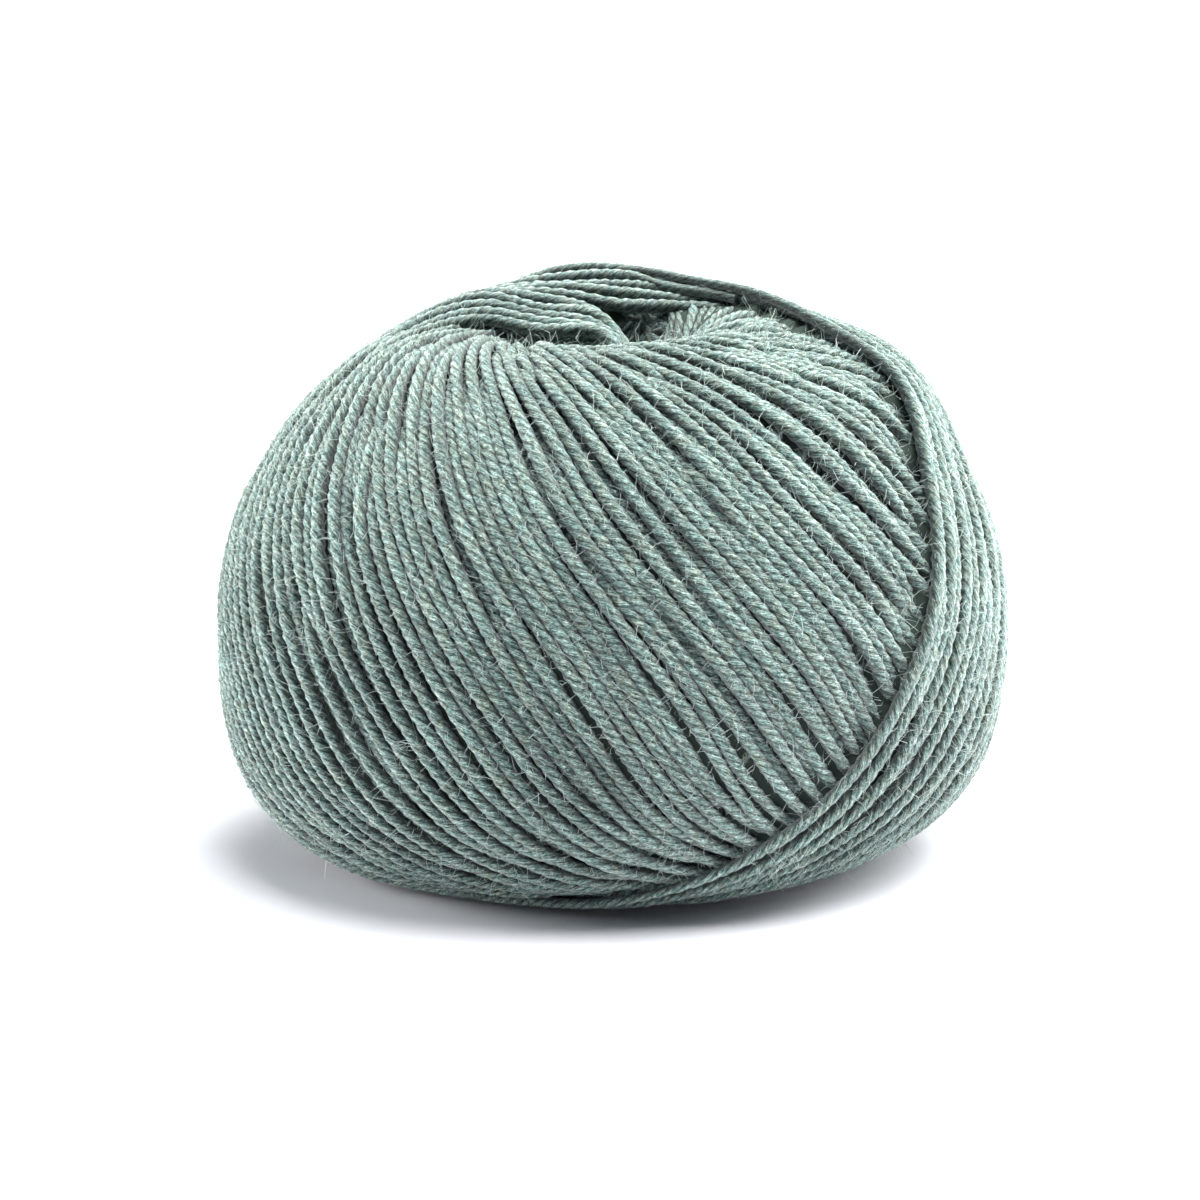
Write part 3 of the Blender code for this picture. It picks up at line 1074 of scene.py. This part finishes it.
fibre_wool = loose_wool("loose_wool_fibres")
fluffing_tree = fibre_tree("raise_loose_fibres")
for number, piece in enumerate(turn_pieces, start=1):
    sizes = {
        "Fibres": FIBRES_PER_MM2 * 1e6,
        "Length": FIBRE_LENGTH,
        "Width": FIBRE_WIDTH,
        "Bend": FIBRE_BEND,
        "Over": FIBRES_OVER,
        "Mouth": FIBRES_OFF_MOUTH,
        "Seed": number,
        "Middle": BALL_MIDDLE,
        "Wool": fibre_wool,
    }
    shown_piece(f"loose_fibres_{number}", grown(piece.data, fluffing_tree, sizes))


# ---------------------------------------------------------------------------
# The body beneath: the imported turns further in, which show only as dark depth between those in sight. It is
# one closed skin close under the crests, and deeper round the hole, so that nothing shows through the ball.

BODY_ROWS = 60
BODY_COLUMNS = 120
BODY_DEPTH = 0.0022  # round the hole
BODY_UNDER_CREST = 0.00125  # elsewhere
BODY_DEEP_INSIDE = math.radians(38)  # polar angle where one depth goes over into the other
BODY_BLEND = 0.1
LOW_CRESTS = 20  # percentile of the crests nearby that the skin keeps under
CELLS_NEARBY = np.arange(-3, 4)
# Painted shade: the body's wool colour is darkened as it looks deep between the turns
SHADE_COLOUR = "#3F4A44"


def packed_heights(polar, lon):
    """Close beneath the turns that show, and deeper round the hole."""
    heights = np.full((len(polar), len(lon)), -BODY_DEPTH)
    for row, level in enumerate(polar):
        rows = np.clip(round(level / CELL) + CELLS_NEARBY, 0, FIELD_SHAPE[0] - 1)
        share = smooth_step((level - BODY_DEEP_INSIDE) / BODY_BLEND)
        for column, side in enumerate(lon):
            columns = (round(side / CELL) + CELLS_NEARBY) % FIELD_SHAPE[1]
            crests = top_field[np.ix_(rows, columns)]
            crests = crests[crests > NOTHING_LAID]
            if share > 0.0 and len(crests):
                close = min(np.percentile(crests, LOW_CRESTS) - BODY_UNDER_CREST, 0.0)
                heights[row, column] = (1.0 - share) * -BODY_DEPTH + share * close
    return heights


def body_mesh():
    """Rings of points from pole to pole, with one point at each pole."""
    polar = np.linspace(0.0, math.pi, BODY_ROWS)
    lon = np.linspace(0.0, 2.0 * math.pi, BODY_COLUMNS, endpoint=False)
    ways = np.stack(
        [
            np.sin(polar)[:, None] * np.cos(lon),
            np.sin(polar)[:, None] * np.sin(lon),
            np.repeat(np.cos(polar)[:, None], BODY_COLUMNS, axis=1),
        ],
        axis=-1,
    )
    points = placed(ways, packed_heights(polar, lon))
    mesh = bpy.data.meshes.new("packed_body")
    rings = [tuple(point) for point in points[1:-1].reshape(-1, 3)]
    vertices = [tuple(points[0, 0])] + rings + [tuple(points[-1, 0])]
    faces = []
    for column in range(BODY_COLUMNS):
        beyond = (column + 1) % BODY_COLUMNS
        faces.append((0, 1 + column, 1 + beyond))
        for row in range(BODY_ROWS - 3):
            here, below = 1 + row * BODY_COLUMNS, 1 + (row + 1) * BODY_COLUMNS
            faces.append((here + column, below + column, below + beyond, here + beyond))
        last = 1 + (BODY_ROWS - 3) * BODY_COLUMNS
        faces.append((last + column, len(vertices) - 1, last + beyond))
    mesh.from_pydata(vertices, [], faces)
    mesh.shade_smooth()
    return mesh


def shaded_wool(name):
    """Packed wool in painted shade: its colour painted a dark grey-green, with no gloss."""
    wool = bpy.data.materials.new(name)
    wool.use_nodes = True
    shader = wool.node_tree.nodes["Principled BSDF"]
    shader.inputs["Base Color"].default_value = linear(SHADE_COLOUR)
    shader.inputs["Roughness"].default_value = 0.95
    shader.inputs["Specular IOR Level"].default_value = 0.1
    return wool


body = body_mesh()
body.materials.append(shaded_wool("packed_wool_in_shade"))
shown_piece("packed_body", body)


# ---------------------------------------------------------------------------
# The studio: a pale sweep of matt paper under soft light from above and both sides, and the camera at the
# photograph's height, 13 degrees above the level of the ball.

SWEEP_HALF = 4
SWEEP_COLOUR = "#E1E1E5"
ROOM_COLOUR = "#DCE7FF"
ROOM_STRENGTH = 0.18


def sweep():
    """Matt white paper, large enough to reach past the picture's edges."""
    mesh = bpy.data.meshes.new("pale_sweep")
    corners = [(x * SWEEP_HALF, y * SWEEP_HALF, 0) for x, y in ((-1, -1), (1, -1), (1, 1), (-1, 1))]
    mesh.from_pydata(corners, [], [(0, 1, 2, 3)])
    floor = bpy.data.objects.new("pale_sweep", mesh)
    bpy.context.scene.collection.objects.link(floor)
    paper = bpy.data.materials.new("matt_white_paper")
    paper.use_nodes = True
    shader = paper.node_tree.nodes["Principled BSDF"]
    shader.inputs["Base Color"].default_value = linear(SWEEP_COLOUR)
    shader.inputs["Roughness"].default_value = 0.9
    shader.inputs["Specular IOR Level"].default_value = 0.2
    mesh.materials.append(paper)


sweep()

room = bpy.data.worlds.new("white_room")
room.use_nodes = True
room.node_tree.nodes["Background"].inputs["Color"].default_value = linear(ROOM_COLOUR)
room.node_tree.nodes["Background"].inputs["Strength"].default_value = ROOM_STRENGTH
bpy.context.scene.world = room

LIT_POINT = (0.0, 0.0, 0.03)


def soft_light(name, place, size, power):
    light = bpy.data.lights.new(name, "AREA")
    light.shape = "RECTANGLE"
    light.size, light.size_y = size
    light.energy = power
    lamp = bpy.data.objects.new(name, light)
    bpy.context.scene.collection.objects.link(lamp)
    lamp.location = place
    lamp.rotation_mode = "QUATERNION"
    lamp.rotation_quaternion = (Vector(LIT_POINT) - Vector(place)).to_track_quat("-Z", "Y")


soft_light("overhead", place=(0.26, 0.13, 0.78), size=(1.0, 0.9), power=30.0)
soft_light("left_side", place=(-0.68, 0.22, 0.11), size=(0.4, 0.4), power=12.5)
soft_light("right_side", place=(0.66, 0.36, 0.24), size=(0.4, 0.4), power=7.5)

CAMERA_HEIGHT = math.radians(13.0)
CAMERA_DISTANCE = 0.5
SENSOR = 36.0
WIDTH_IN_VIEW = 0.120  # at the ball's middle
CAMERA_ASIDE = -0.0009
CAMERA_RAISED = 0.0007

camera_data = bpy.data.cameras.new("camera")
camera_data.sensor_width = SENSOR
camera_data.lens = SENSOR * CAMERA_DISTANCE / WIDTH_IN_VIEW
camera_data.clip_start = 0.01
camera_data.clip_end = 20.0
camera = bpy.data.objects.new("camera", camera_data)
bpy.context.scene.collection.objects.link(camera)
up = np.array([0.0, math.sin(CAMERA_HEIGHT), math.cos(CAMERA_HEIGHT)])
ahead = np.array([0.0, math.cos(CAMERA_HEIGHT), -math.sin(CAMERA_HEIGHT)])
centre = np.array([CAMERA_ASIDE, 0.0, WIDEST_LEVEL])
camera.location = centre - ahead * CAMERA_DISTANCE + CAMERA_RAISED * up
camera.rotation_euler = (math.pi / 2.0 - CAMERA_HEIGHT, 0.0, 0.0)
bpy.context.scene.camera = camera
bpy.context.scene.view_settings.view_transform = "Standard"
